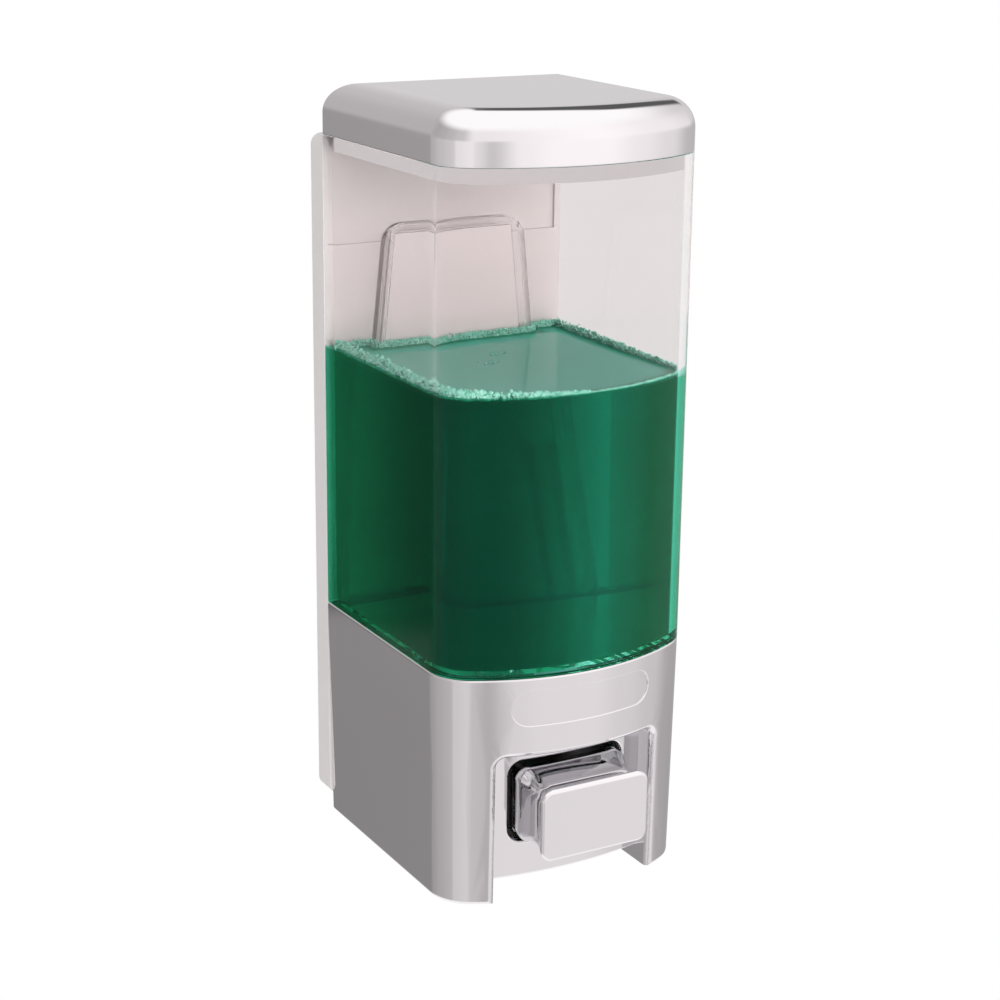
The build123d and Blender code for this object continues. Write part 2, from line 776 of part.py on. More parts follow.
# Outlet spring: hidden in the outlet, so it is the sleeve that its coils fill
outlet_spring_bore = outlet_spring_radius - outlet_spring_wire
outlet_spring_top = ball_z - sqrt(ball_radius**2 - outlet_spring_bore**2) - ball_gap
with BuildPart() as outlet_spring:
    with BuildSketch(level(spring_ledge)):
        with Locations((0, port_y)):
            Circle(outlet_spring_radius)
            Circle(outlet_spring_bore, mode=Mode.SUBTRACT)
    extrude(amount=outlet_spring_top - spring_ledge)
save(outlet_spring, "outlet_spring")

# Nozzle seal: a flat washer under the outlet boss
with BuildPart() as nozzle_seal:
    with BuildSketch(level(nozzle_face)):
        with Locations((0, port_y)):
            Circle(outlet_boss_radius)
            Circle(nozzle_seal_bore, mode=Mode.SUBTRACT)
    extrude(amount=nozzle_seal_thickness)
save(nozzle_seal, "nozzle_seal")

# Nozzle: a cup over the outlet boss that narrows to the spout
with BuildPart() as nozzle:
    spout_top = spring_ledge - nozzle_floor
    skirt_inside = outlet_boss_radius + nozzle_fit
    with BuildSketch(facing(port_y)):
        with BuildLine():
            Polyline(
                (nozzle_spout_bore, spout_end),
                (nozzle_spout_radius, spout_end),
                (nozzle_spout_radius, spout_top),
                (nozzle_radius, spout_top),
                (nozzle_radius, boss_end + nozzle_skirt_height),
                (skirt_inside, boss_end + nozzle_skirt_height),
                (skirt_inside, nozzle_face),
                (outlet_bore, nozzle_face),
                (outlet_bore, spring_ledge),
                (nozzle_spout_bore, spring_ledge),
                close=True,
            )
        make_face()
    revolve(axis=port_axis)
save(nozzle, "nozzle")

# Screws, each kind a group of separate solids
with BuildPart() as housing_screws:
    for x, y in housing_post_spots:
        screw_at(x, y, housing_post_end - column_length, column_length + screw_grip)
save(housing_screws, "housing_screws")

with BuildPart() as pump_screws:
    for x, y in pump_post_spots:
        screw_at(x, y, pump_ear_under, pump_ear_thickness + screw_grip)
save(pump_screws, "pump_screws")

with BuildPart() as guide_screws:
    head_y = guide_post_y + guide_ear_thickness
    with BuildSketch(facing(head_y)):
        with Locations(*guide_post_spots):
            Circle(screw_head_radius)
    extrude(amount=-screw_head_height)
    with BuildSketch(facing(head_y)):
        with Locations(*guide_post_spots):
            Circle(screw_radius)
    extrude(amount=guide_ear_thickness + guide_post_length - screw_gap)
    with BuildSketch(facing(head_y + screw_head_height)):
        with Locations(*guide_post_spots):
            Rectangle(screw_slot_length, screw_slot_width)
            Rectangle(screw_slot_width, screw_slot_length)
    extrude(amount=screw_slot_depth, mode=Mode.SUBTRACT)
save(guide_screws, "guide_screws")
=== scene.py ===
import json
import math

import bmesh
import bpy
import numpy as np
from mathutils import Matrix, Vector

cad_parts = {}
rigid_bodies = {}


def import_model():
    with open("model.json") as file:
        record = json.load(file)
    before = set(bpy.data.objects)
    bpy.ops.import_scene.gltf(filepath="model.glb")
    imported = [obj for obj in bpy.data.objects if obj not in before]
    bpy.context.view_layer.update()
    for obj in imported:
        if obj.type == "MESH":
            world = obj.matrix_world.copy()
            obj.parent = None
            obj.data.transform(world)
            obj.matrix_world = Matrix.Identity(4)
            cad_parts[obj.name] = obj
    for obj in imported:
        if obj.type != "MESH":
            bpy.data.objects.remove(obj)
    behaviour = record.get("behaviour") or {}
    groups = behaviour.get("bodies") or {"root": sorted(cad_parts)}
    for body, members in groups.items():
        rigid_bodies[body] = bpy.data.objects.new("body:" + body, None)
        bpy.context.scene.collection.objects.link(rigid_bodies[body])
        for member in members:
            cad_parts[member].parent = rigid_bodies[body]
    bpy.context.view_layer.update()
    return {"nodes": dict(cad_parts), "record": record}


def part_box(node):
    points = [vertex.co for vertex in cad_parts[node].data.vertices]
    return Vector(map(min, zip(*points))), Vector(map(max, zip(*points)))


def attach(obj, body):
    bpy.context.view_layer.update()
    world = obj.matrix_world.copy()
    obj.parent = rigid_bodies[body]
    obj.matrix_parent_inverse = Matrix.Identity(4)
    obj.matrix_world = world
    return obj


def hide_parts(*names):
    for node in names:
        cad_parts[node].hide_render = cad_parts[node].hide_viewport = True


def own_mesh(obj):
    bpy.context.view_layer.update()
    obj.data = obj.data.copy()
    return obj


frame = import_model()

MM = 0.001


def node_spans(node):
    """Lowest and highest x, y and z of a CAD node, in millimetres to three places."""
    return np.round(np.array([list(corner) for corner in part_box(node)]) / MM, 3).T.tolist()


# Body plan, in millimetres
(_, HALF_WIDTH), (_, BACK_Y), (_, TANK_TOP) = node_spans("tank")
CORNER_RADIUS = 13.0
FRONT_RADIUS = 66.0
FRONT_Y = -88.8
FRONT_CENTRE_Y = FRONT_Y + FRONT_RADIUS
CORNER_X = HALF_WIDTH - CORNER_RADIUS
CORNER_Y = FRONT_CENTRE_Y - math.sqrt((FRONT_RADIUS - CORNER_RADIUS) ** 2 - CORNER_X**2)
CORNER_TURN = math.atan2(CORNER_Y - FRONT_CENTRE_Y, CORNER_X)
SIDE_STEPS = 25
CORNER_STEPS = 25
FRONT_STEPS = 41
BACK_STEPS = 21
BUMP_SIDE_STEPS = 5
BUMP_FRONT_STEPS = 9

# Points of the plan by number: from the right back corner round the front to the left, then along the back
FRONT_MIDDLE = SIDE_STEPS + CORNER_STEPS - 2 + FRONT_STEPS // 2
LEFT_BACK = 2 * FRONT_MIDDLE
BACK_POINTS = 2 * (2 * (BUMP_SIDE_STEPS - 1) + BUMP_FRONT_STEPS - 1) - 1

# Tank and soap: the drawn surface lies a little under the CAD soap's top, and is drawn in ring by ring
_, _, (SOAP_BOTTOM, SOAP_CEILING) = node_spans("soap")
TANK_WALL = 2.6
TANK_BACK = 3.0
SOAP_FILM = 0.1
SURFACE_DROP = 0.8
FLOOR_TOP = round(SOAP_BOTTOM - SOAP_FILM, 3)
SOAP_TOP = round(SOAP_CEILING - SURFACE_DROP, 3)
MENISCUS = 0.4
MENISCUS_REACH = 1.5
POCKET_TOP = 71.8
POCKET_HALF = 20.2
POCKET_TAPER = math.radians(6.0)
POCKET_DEPTH = 5.0
POCKET_WALL = 2.5
POCKET_FRONT = BACK_Y - POCKET_DEPTH - POCKET_WALL
SOAP_FLOOR_DRAWS = (4.0, 0.4)
SOAP_RISES = np.concatenate(((0.0, 0.004, 0.02), np.linspace(0.06, 0.97, 14), (0.993, 1.0)))
SOAP_SURFACE_DRAWS = (0.15, 0.35, 0.6, 0.95, 1.4, 2.0, 2.8, 4.0, 5.5, 7.5)
LOOKS_UP = 0.15

# Froth: places drawn for each ball; the least share kept, and what clumps add to it; the same for its spread;
# the smallest ball as a share of the largest; the power that crowds balls to the wall; the distance over
# which the froth falls off; its gap from the wall; the stride that gives the wall's direction; the usual
# share sunk
FROTH_DRAWS = 3
FROTH_KEPT = (0.25, 0.75)
FROTH_SPREAD = (0.55, 0.45)
FROTH_SMALLEST = 0.35
FROTH_CROWDING = 1.5
FROTH_SLOPE = 2.5
FROTH_GAP = 0.04
FROTH_STRIDE = 0.3
FROTH_SUNK = 0.25
FROTH = (
    # name, seed, ends as points of the plan, balls, reach, rise and largest radius along the run, share sunk
    ("foam_left", 3, (FRONT_MIDDLE, LEFT_BACK), 2600,
     (0.5, 3.4, 4.8, 2.8), (0.8, 3.2, 4.0, 3.4), (0.4, 0.75, 0.8, 0.6), 0.15),
    ("foam_back", 4, (LEFT_BACK, LEFT_BACK + BACK_POINTS + 1), 3000,
     (1.0, 0.9, 1.0), (2.4, 2.6, 2.4), (0.4, 0.4, 0.4), FROTH_SUNK),
    ("foam_right", 6, (0, FRONT_MIDDLE), 2200,
     (1.6, 1.4, 0.7, 0.4), (3.2, 2.6, 0.9, 0.4), (0.42, 0.42, 0.34, 0.26), FROTH_SUNK),
)
STRAY_SEED = 5
STRAY_ROWS = ((-6.0, -44.0), (3.0, -36.0))
STRAY_IN_ROW = 9
STRAY_SPREAD = (2.6, 1.1)
STRAY_RADII = (0.25, 0.6)
BALL_SIDES = 6

# Lid
_, _, (SKIRT_BOTTOM, LID_TOP) = node_spans("lid")
LID_EDGE = 8.0
LID_EDGE_STEPS = 25
LID_ROOF = 2.4
LID_RIM = 0.35
LID_RIM_STEPS = 5
LID_LEDGE = 1.2
LID_SIDE_GAPS = (0.5, 0.05)
LID_SIDE_STEPS = 5
LID_TOP_DRAWS = (8.4, 11.0, 12.4)
CEILING_DRAW = 6.0
CEILING_HOLD = 0.6
SKIRT_INSET = 2.95
SKIRT_BACK = 3.35
SKIRT_WALL = 1.8
SKIRT_HOLD = 0.3

# Button: sizes at its face, waist and lip, then its rings
_, (FACE_Y, BUTTON_REAR_Y), BUTTON_SPAN = node_spans("button")
AXIS_Z = round(sum(BUTTON_SPAN) / 2, 3)
BUTTON_CORNER = 3.6
BUTTON_LEAST_CORNER = 0.4
BUTTON_CORNER_STEPS = 9
BUTTON_RUN_STEPS = 12
BUTTON_EDGE = 1.6
BUTTON_EDGE_STEPS = 13
BUTTON_DEPTHS = (0.0, 6.5, 12.7)
BUTTON_WIDTHS = (34.2, 30.6, 33.2)
BUTTON_HEIGHTS = (21.4, 18.4, 21.2)
BUTTON_DROPS = (1.2, 0.6, 0.0)
BUTTON_FACE_DRAWS = (7.0, BUTTON_EDGE + 1.2, BUTTON_EDGE + 0.2)
BUTTON_FLANK_GAP = 0.3
BUTTON_FLANK_STEPS = 22
BUTTON_WALL = 4.0
BUTTON_HOLD = 0.2
BUTTON_HOLLOW = ((2.4, 4.0), (2.2, 4.2))

# Angles in degrees past which an edge stays sharp, how near points are joined in metres, a guard for division
STACKED_LIMIT = 35
BUTTON_LIMIT = 40
MOULDED_LIMIT = 28
WIRE_LIMIT = 50
JOIN_DISTANCE = 2e-6
LEAST_DIVISOR = 1e-18


# Shapes

def body_plan(inset, back, bump=None):
    """Closed plan of the body drawn in by inset: straight sides, corner arcs about fixed centres, one bowed
    front arc, and a straight back that steps forward to y = bump[1] between x = -bump[0] and bump[0]."""
    half = HALF_WIDTH - inset
    radius = CORNER_RADIUS - inset
    front = FRONT_RADIUS - inset
    rear = BACK_Y - back
    side = np.linspace(rear, CORNER_Y, SIDE_STEPS)
    turn = np.linspace(0.0, CORNER_TURN, CORNER_STEPS)[1:]
    bow = np.linspace(CORNER_TURN, -math.pi / 2, FRONT_STEPS // 2 + 1)[1:]
    right = np.concatenate((
        np.column_stack((np.full(SIDE_STEPS, half), side)),
        np.column_stack((CORNER_X + radius * np.cos(turn), CORNER_Y + radius * np.sin(turn))),
        np.column_stack((front * np.cos(bow), FRONT_CENTRE_Y + front * np.sin(bow))),
    ))
    left = right[-2::-1] * (-1.0, 1.0)
    if bump is None:
        x = np.linspace(-half, half, BACK_STEPS)[1:-1]
        rear_line = np.column_stack((x, np.full_like(x, rear)))
    else:
        wide, deep = bump
        out = np.linspace(-half, -wide, BUMP_SIDE_STEPS)[1:]
        step = np.linspace(rear, deep, BUMP_SIDE_STEPS)[1:]
        half_front = np.linspace(-wide, 0.0, BUMP_FRONT_STEPS)[1:]
        left_half = np.concatenate((
            np.column_stack((out, np.full_like(out, rear))),
            np.column_stack((np.full_like(step, -wide), step)),
            np.column_stack((half_front, np.full_like(half_front, deep))),
        ))
        rear_line = np.concatenate((left_half, left_half[-2::-1] * (-1.0, 1.0)))
    return np.concatenate((right, left, rear_line))


def rounded_rectangle(width, height, corner):
    """Closed rectangle about the origin with quarter circles of the given radius at its corners, one quarter
    circle turned by 0, 1, 2 and 3 quarter turns, and straight runs between them."""
    x, z = width / 2 - corner, height / 2 - corner
    turn = np.linspace(0.0, math.pi / 2, BUTTON_CORNER_STEPS)
    quarter = np.column_stack((np.cos(turn), np.sin(turn))) * corner
    arcs = []
    for quarters, centre in enumerate(((x, z), (-x, z), (-x, -z), (x, -z))):
        c, s = round(math.cos(quarters * math.pi / 2)), round(math.sin(quarters * math.pi / 2))
        arcs.append(quarter @ np.array(((c, s), (-s, c))) + centre)
    runs = []
    for arc, following in zip(arcs, arcs[1:] + arcs[:1]):
        runs.extend((arc, np.linspace(arc[-1], following[0], BUTTON_RUN_STEPS)[1:-1]))
    return np.concatenate(runs)


def smooth_object(name, mesh):
    """A mesh, shaded smooth, as an object at the origin."""
    mesh.shade_smooth()
    piece = bpy.data.objects.new(name, mesh)
    bpy.context.collection.objects.link(piece)
    return piece


def mesh_piece(name, points, faces):
    """A mesh object at the origin from points in millimetres and lists of corners, smooth, with its normals
    turned outwards."""
    mesh = bpy.data.meshes.new(name)
    mesh.from_pydata((np.asarray(points) * MM).tolist(), [], faces)
    work = bmesh.new()
    work.from_mesh(mesh)
    bmesh.ops.recalc_face_normals(work, faces=work.faces[:])
    work.to_mesh(mesh)
    work.free()
    return smooth_object(name, mesh)


def skin_loops(name, loops):
    """Closed loops with equal counts joined by quads one after another, the first and last filled."""
    grid = np.stack(loops)
    levels, count = grid.shape[:2]
    index = np.arange(levels * count).reshape(levels, count)
    turned = np.roll(index, -1, axis=1)
    quads = np.stack((index[:-1], turned[:-1], turned[1:], index[1:]), axis=-1).reshape(-1, 4)
    faces = quads.tolist() + [index[0, ::-1].tolist(), index[-1].tolist()]
    return mesh_piece(name, grid.reshape(-1, 3), faces)


def at_height(plan, z):
    """A plan lifted to height z."""
    return np.column_stack((plan, np.full(len(plan), z)))


def fair_normals(piece, limit):
    """Normals for every face corner: the mean of the normals of the faces about its point that turn less than
    the limit in degrees from its own face, each weighted by its area squared and its angle at the point."""
    mesh = piece.data
    points = np.empty(len(mesh.vertices) * 3)
    mesh.vertices.foreach_get("co", points)
    points = points.reshape(-1, 3)
    vertex = np.empty(len(mesh.loops), int)
    mesh.loops.foreach_get("vertex_index", vertex)
    flat = np.empty(len(mesh.polygons) * 3)
    mesh.polygons.foreach_get("normal", flat)
    area, first, total = (np.empty(len(mesh.polygons), kind) for kind in (float, int, int))
    for name, values in (("area", area), ("loop_start", first), ("loop_total", total)):
        mesh.polygons.foreach_get(name, values)
    face = np.repeat(np.arange(len(total)), total)
    normal = flat.reshape(-1, 3)[face]
    spot = np.arange(len(vertex)) - first[face]
    ahead = points[vertex[first[face] + (spot + 1) % total[face]]] - points[vertex]
    behind = points[vertex[first[face] + (spot - 1) % total[face]]] - points[vertex]
    lengths = np.linalg.norm(ahead, axis=1) * np.linalg.norm(behind, axis=1)
    cosine = (ahead * behind).sum(axis=1) / np.maximum(lengths, LEAST_DIVISOR)
    weight = area[face] ** 2 * np.arccos(np.clip(cosine, -1.0, 1.0))
    order = np.argsort(vertex, kind="stable")
    count = np.bincount(vertex, minlength=len(points))
    start = np.cumsum(count) - count
    each = count[vertex]
    own = np.repeat(np.arange(len(vertex)), each)
    turn = np.arange(len(own)) - np.repeat(np.cumsum(each) - each, each)
    other = order[start[vertex[own]] + turn]
    near = (normal[own] * normal[other]).sum(axis=1) > math.cos(math.radians(limit))
    mean = np.zeros_like(normal)
    np.add.at(mean, own, (near * weight[other])[:, None] * normal[other])
    mean /= np.linalg.norm(mean, axis=1)[:, None]
    mesh.normals_split_custom_set(mean.tolist())
    return piece


def smooth_copy(name, node, limit):
    """A copy of a node's mesh with its loose triangles joined, smooth except past the given angle."""
    mesh = frame["nodes"][node].data.copy()
    mesh.name = name
    work = bmesh.new()
    work.from_mesh(mesh)
    bmesh.ops.remove_doubles(work, verts=work.verts[:], dist=JOIN_DISTANCE)
    work.to_mesh(mesh)
    work.free()
    return fair_normals(smooth_object(name, mesh), limit)


def make_lid():
    """The cap as a profile carried round the body plan: up the hollow, down the skirt, out along the rim, up
    the side and over a quarter circle of radius r, inset = r (1 - cos t), height = r sin t above the side."""
    inner, rear = SKIRT_INSET + SKIRT_WALL, SKIRT_BACK + SKIRT_WALL
    ceiling = LID_TOP - LID_ROOF
    spring = LID_TOP - LID_EDGE
    profile = [
        (inner + CEILING_DRAW, rear + CEILING_DRAW, ceiling),
        (inner + CEILING_HOLD, rear + CEILING_HOLD, ceiling),
        (inner, rear, ceiling),
        (inner, rear, ceiling - CEILING_HOLD),
        (inner, rear, SKIRT_BOTTOM + SKIRT_HOLD),
        (inner, rear, SKIRT_BOTTOM),
        (SKIRT_INSET, SKIRT_BACK, SKIRT_BOTTOM),
        (SKIRT_INSET, SKIRT_BACK, SKIRT_BOTTOM + SKIRT_HOLD),
        (SKIRT_INSET, SKIRT_BACK, TANK_TOP - SKIRT_HOLD),
        (SKIRT_INSET, SKIRT_BACK, TANK_TOP),
    ]
    outside = [(LID_RIM + LID_LEDGE, TANK_TOP)]
    outside += [
        (LID_RIM * (1 - math.sin(t)), TANK_TOP + LID_RIM * (1 - math.cos(t)))
        for t in np.linspace(0.0, math.pi / 2, LID_RIM_STEPS)
    ]
    below, above = LID_SIDE_GAPS
    outside += [
        (0.0, z) for z in np.linspace(TANK_TOP + LID_RIM + below, spring - above, LID_SIDE_STEPS)
    ]
    outside += [
        (LID_EDGE * (1 - math.cos(t)), spring + LID_EDGE * math.sin(t))
        for t in np.linspace(0.0, math.pi / 2, LID_EDGE_STEPS)
    ]
    outside += [(draw, LID_TOP) for draw in LID_TOP_DRAWS]
    profile += [(draw, draw, z) for draw, z in outside]
    loops = [at_height(body_plan(inset, back), z) for inset, back, z in profile]
    return fair_normals(skin_loops("lid_cap", loops), STACKED_LIMIT)


def soap_plan(z, draw=0.0):
    """The tank's inside at height z less the film of soap and a further draw, stepping forward round the
    hanging pocket, whose half width grows downwards by the tangent of its taper."""
    film = SOAP_FILM + draw
    half = POCKET_HALF + (POCKET_TOP - z) * math.tan(POCKET_TAPER) + film / math.cos(POCKET_TAPER)
    return body_plan(TANK_WALL + SOAP_FILM + draw, TANK_BACK + SOAP_FILM + draw, (half, POCKET_FRONT - film))


def make_soap():
    """The liquid as plans of the tank's inside stacked up to its level, then drawn in over a surface that
    climbs the walls by height exp(-distance / reach)."""
    heights = SOAP_BOTTOM + SOAP_RISES * (SOAP_TOP + MENISCUS - SOAP_BOTTOM)
    loops = [at_height(soap_plan(SOAP_BOTTOM, draw), SOAP_BOTTOM) for draw in SOAP_FLOOR_DRAWS]
    loops += [at_height(soap_plan(z), z) for z in heights]
    for draw in SOAP_SURFACE_DRAWS:
        z = SOAP_TOP + MENISCUS * math.exp(-draw / MENISCUS_REACH)
        loops.append(at_height(soap_plan(z, draw), z))
    return fair_normals(skin_loops("liquid_soap", loops), STACKED_LIMIT)


def mark_surface(soap):
    """Gives the second material to the faces that look up."""
    normals = np.empty(len(soap.data.polygons) * 3)
    soap.data.polygons.foreach_get("normal", normals)
    soap.data.polygons.foreach_set("material_index", (normals[2::3] > LOOKS_UP).astype(np.int32))


def bubble_balls(name, centres, radii):
    """Small balls at many centres, each a scaled unit ball added to its centre: two poles, and two rings of
    points at a third and two thirds of the way down in angle."""
    around = np.arange(BALL_SIDES)
    ahead = (around + 1) % BALL_SIDES
    spin = around * math.pi / (BALL_SIDES / 2)
    rings = [
        np.column_stack((
            math.sin(tilt) * np.cos(spin), math.sin(tilt) * np.sin(spin), np.full(BALL_SIDES, math.cos(tilt)),
        ))
        for tilt in (math.pi / 3, 2 * math.pi / 3)
    ]
    unit = np.concatenate((((0.0, 0.0, 1.0),), *rings, ((0.0, 0.0, -1.0),)))
    upper, lower = 1, 1 + BALL_SIDES
    top = np.column_stack((np.zeros(BALL_SIDES, int), upper + around, upper + ahead))
    belt = np.column_stack((upper + around, lower + around, lower + ahead, upper + ahead))
    low = np.column_stack((np.full(BALL_SIDES, len(unit) - 1), lower + ahead, lower + around))
    points = (centres[:, None, :] + radii[:, None, None] * unit[None]).reshape(-1, 3)
    offset = np.arange(len(centres))[:, None, None] * len(unit)
    faces = []
    for part in (top, belt, low):
        faces += (part[None] + offset).reshape(-1, part.shape[1]).tolist()
    return mesh_piece(name, points, faces)


def clumping(along):
    """Waves along a run, between 0 and 1: 0.5 + 0.3 sin(41 s + 2 sin 9 s) + 0.2 sin 97 s."""
    return 0.5 + 0.3 * np.sin(along * 41.0 + 2.0 * np.sin(along * 9.0)) + 0.2 * np.sin(along * 97.0)


def froth(name, seed, ends, count, width, height, largest, sunk):
    """Froth along the wall line at the soap's level between two points of the plan: each ball takes a random
    place along the run, thinned by waves so that it clumps, a reach inwards and a rise from the wetted line,
    of which the sunk share lies below it; reach, rise and radius follow tables along the run, and the spread
    of reach and rise varies from ball to ball."""
    rng = np.random.default_rng(seed)
    line = soap_plan(SOAP_TOP)
    closed = np.concatenate((line, line))
    run = np.concatenate(((0.0,), np.cumsum(np.linalg.norm(np.diff(closed, axis=0), axis=1))))
    start, stop = np.interp(ends, np.arange(len(run)), run)

    def on_line(far):
        """Points of the wall line at distances along it."""
        return np.column_stack([np.interp(far, run, closed[:, axis]) for axis in (0, 1)])

    along = rng.uniform(0.0, 1.0, FROTH_DRAWS * count)
    clump = clumping(along)
    least, further = FROTH_KEPT
    along = along[rng.uniform(0.0, 1.0, len(along)) < least + further * clump][:count]
    count = len(along)
    far = start + along * (stop - start)
    spot = on_line(far)
    ahead = on_line(far + FROTH_STRIDE) - spot
    inward = np.column_stack((ahead[:, 1], -ahead[:, 0])) / np.linalg.norm(ahead, axis=1)[:, None]
    least, further = FROTH_SPREAD
    spread = least + further * clump[:count]
    widest, highest, roundest = (
        np.interp(along, np.linspace(0.0, 1.0, len(row)), row) for row in (width, height, largest)
    )
    radii = roundest * rng.uniform(FROTH_SMALLEST, 1.0, count)
    reach = widest * spread * rng.uniform(0.0, 1.0, count) ** FROTH_CROWDING
    rise = highest * spread * (rng.uniform(0.0, 1.0, count) - sunk) * np.exp(-reach / FROTH_SLOPE)
    level = SOAP_TOP + MENISCUS * np.exp(-reach / MENISCUS_REACH)
    plan = spot + inward * (reach + radii + FROTH_GAP)[:, None]
    return bubble_balls(name, np.column_stack((plan, level + rise)), radii)


def make_stray_bubbles():
    """A few bubbles afloat in loose rows near the middle of the surface: each row's middle plus a random
    spread."""
    rng = np.random.default_rng(STRAY_SEED)
    centre = np.repeat(STRAY_ROWS, STRAY_IN_ROW, axis=0)
    plan = centre + rng.normal(0.0, 1.0, centre.shape) * STRAY_SPREAD
    radii = rng.uniform(*STRAY_RADII, len(centre))
    return bubble_balls("stray_bubbles", at_height(plan, SOAP_TOP), radii)


def make_button():
    """The push button as rounded rectangles carried into the wall: a quarter circle at the face's edge, then
    width, height and drop along the parabolas through face, waist and lip, a straight collar, and a hollow
    behind."""
    width_curve, height_curve, drop_curve = (
        np.polyfit(BUTTON_DEPTHS, sizes, 2) for sizes in (BUTTON_WIDTHS, BUTTON_HEIGHTS, BUTTON_DROPS)
    )
    lip = BUTTON_DEPTHS[-1]

    def ring(depth, draw=0.0):
        """Rounded rectangle at a depth behind the face, drawn in by draw on every side."""
        at = min(depth, lip)
        plan = rounded_rectangle(
            np.polyval(width_curve, at) - 2 * draw, np.polyval(height_curve, at) - 2 * draw,
            max(BUTTON_CORNER - draw, BUTTON_LEAST_CORNER),
        )
        middle = AXIS_Z - np.polyval(drop_curve, at)
        return np.column_stack((plan[:, 0], np.full(len(plan), FACE_Y + depth), middle + plan[:, 1]))

    rear = BUTTON_REAR_Y - FACE_Y
    loops = [ring(0.0, draw) for draw in BUTTON_FACE_DRAWS]
    loops += [
        ring(BUTTON_EDGE * (1 - math.cos(t)), BUTTON_EDGE * (1 - math.sin(t)))
        for t in np.linspace(0.0, math.pi / 2, BUTTON_EDGE_STEPS)
    ]
    loops += [ring(depth) for depth in np.linspace(BUTTON_EDGE + BUTTON_FLANK_GAP, lip, BUTTON_FLANK_STEPS)]
    loops += [ring(rear - BUTTON_HOLD), ring(rear)]
    loops += [ring(rear, BUTTON_WALL), ring(rear - BUTTON_HOLD, BUTTON_WALL)]
    loops += [ring(depth, draw) for depth, draw in BUTTON_HOLLOW]
    return fair_normals(skin_loops("push_button", loops), BUTTON_LIMIT)


# Nodes

def feed(tree, node, feeds):
    """Gives inputs of a node their sources: a link from another node's socket, or else a plain value."""
    for socket, source in feeds.items():
        if isinstance(source, bpy.types.NodeSocket):
            tree.links.new(source, node.inputs[socket])
        else:
            node.inputs[socket].default_value = source
    return node


def put(tree, kind, feeds=None, **attributes):
    """A new node with its attributes set and its inputs fed."""
    node = tree.nodes.new(kind)
    for name, value in attributes.items():
        setattr(node, name, value)
    return feed(tree, node, feeds or {})


def opaque(colour):
    """A colour with full alpha."""
    return (*colour, 1.0)


def grey(value):
    """An opaque grey."""
    return opaque((value, value, value))


def map_range(tree, source, span, to=(0.0, 1.0), smooth=False):
    """A value carried from one span to another and held at its ends, evenly or by a smooth step."""
    return put(
        tree, "ShaderNodeMapRange",
        {"Value": source, "From Min": span[0], "From Max": span[1], "To Min": to[0], "To Max": to[1]},
        interpolation_type="SMOOTHSTEP" if smooth else "LINEAR",
    ).outputs["Result"]


def mix_colour(tree, factor, first, second):
    """One colour into another by a factor."""
    return put(
        tree, "ShaderNodeMix", {"Factor": factor, "A": first, "B": second}, data_type="RGBA",
    ).outputs["Result"]


def mix_shader(tree, factor, first, second):
    """One shader into another by a factor."""
    return put(tree, "ShaderNodeMixShader", {"Fac": factor, 1: first, 2: second}).outputs["Shader"]


def math_node(tree, operation, first, second, clamp=False):
    """Two values joined by an operation."""
    return put(
        tree, "ShaderNodeMath", {0: first, 1: second}, operation=operation, use_clamp=clamp,
    ).outputs["Value"]


def vector_node(tree, operation, feeds, result="Vector"):
    """A vector operation."""
    return put(tree, "ShaderNodeVectorMath", feeds, operation=operation).outputs[result]


def object_place(tree):
    """A point's place on its object, and its height alone."""
    place = put(tree, "ShaderNodeTexCoord").outputs["Object"]
    return place, put(tree, "ShaderNodeSeparateXYZ", {"Vector": place}).outputs["Z"]


# Finishes

CLOUD_DETAIL = 4.0
CLOUD_SPAN = (0.3, 0.7)
GRAIN_DETAIL = 2.0


def node_group(name, inputs, outputs):
    """An empty shader group with named value or colour sockets."""
    group = bpy.data.node_groups.new(name, "ShaderNodeTree")
    for socket, kind, value in inputs:
        made = group.interface.new_socket(socket, in_out="INPUT", socket_type=kind)
        if value is not None:
            made.default_value = value
    for socket, kind in outputs:
        group.interface.new_socket(socket, in_out="OUTPUT", socket_type=kind)
    return group, group.nodes.new("NodeGroupInput").outputs, group.nodes.new("NodeGroupOutput")


def make_mottle():
    """Soft cloudy change between two colours and between two roughness values, with a fine grain height."""
    group, given, result = node_group(
        "mottle",
        (
            ("Scale", "NodeSocketFloat", 60.0), ("Grain Scale", "NodeSocketFloat", 900.0),
            ("Colour A", "NodeSocketColor", None), ("Colour B", "NodeSocketColor", None),
            ("Rough A", "NodeSocketFloat", 0.2), ("Rough B", "NodeSocketFloat", 0.3),
        ),
        (("Colour", "NodeSocketColor"), ("Roughness", "NodeSocketFloat"), ("Height", "NodeSocketFloat")),
    )
    place = put(group, "ShaderNodeTexCoord").outputs["Object"]
    cloud, grain = (
        put(
            group, "ShaderNodeTexNoise", {"Vector": place, "Scale": given[scale], "Detail": detail},
        ).outputs["Fac"]
        for scale, detail in (("Scale", CLOUD_DETAIL), ("Grain Scale", GRAIN_DETAIL))
    )
    feed(group, result, {
        "Colour": mix_colour(group, cloud, given["Colour A"], given["Colour B"]),
        "Roughness": map_range(group, cloud, CLOUD_SPAN, (given["Rough A"], given["Rough B"])),
        "Height": grain,
    })
    return group


MOTTLE = make_mottle()


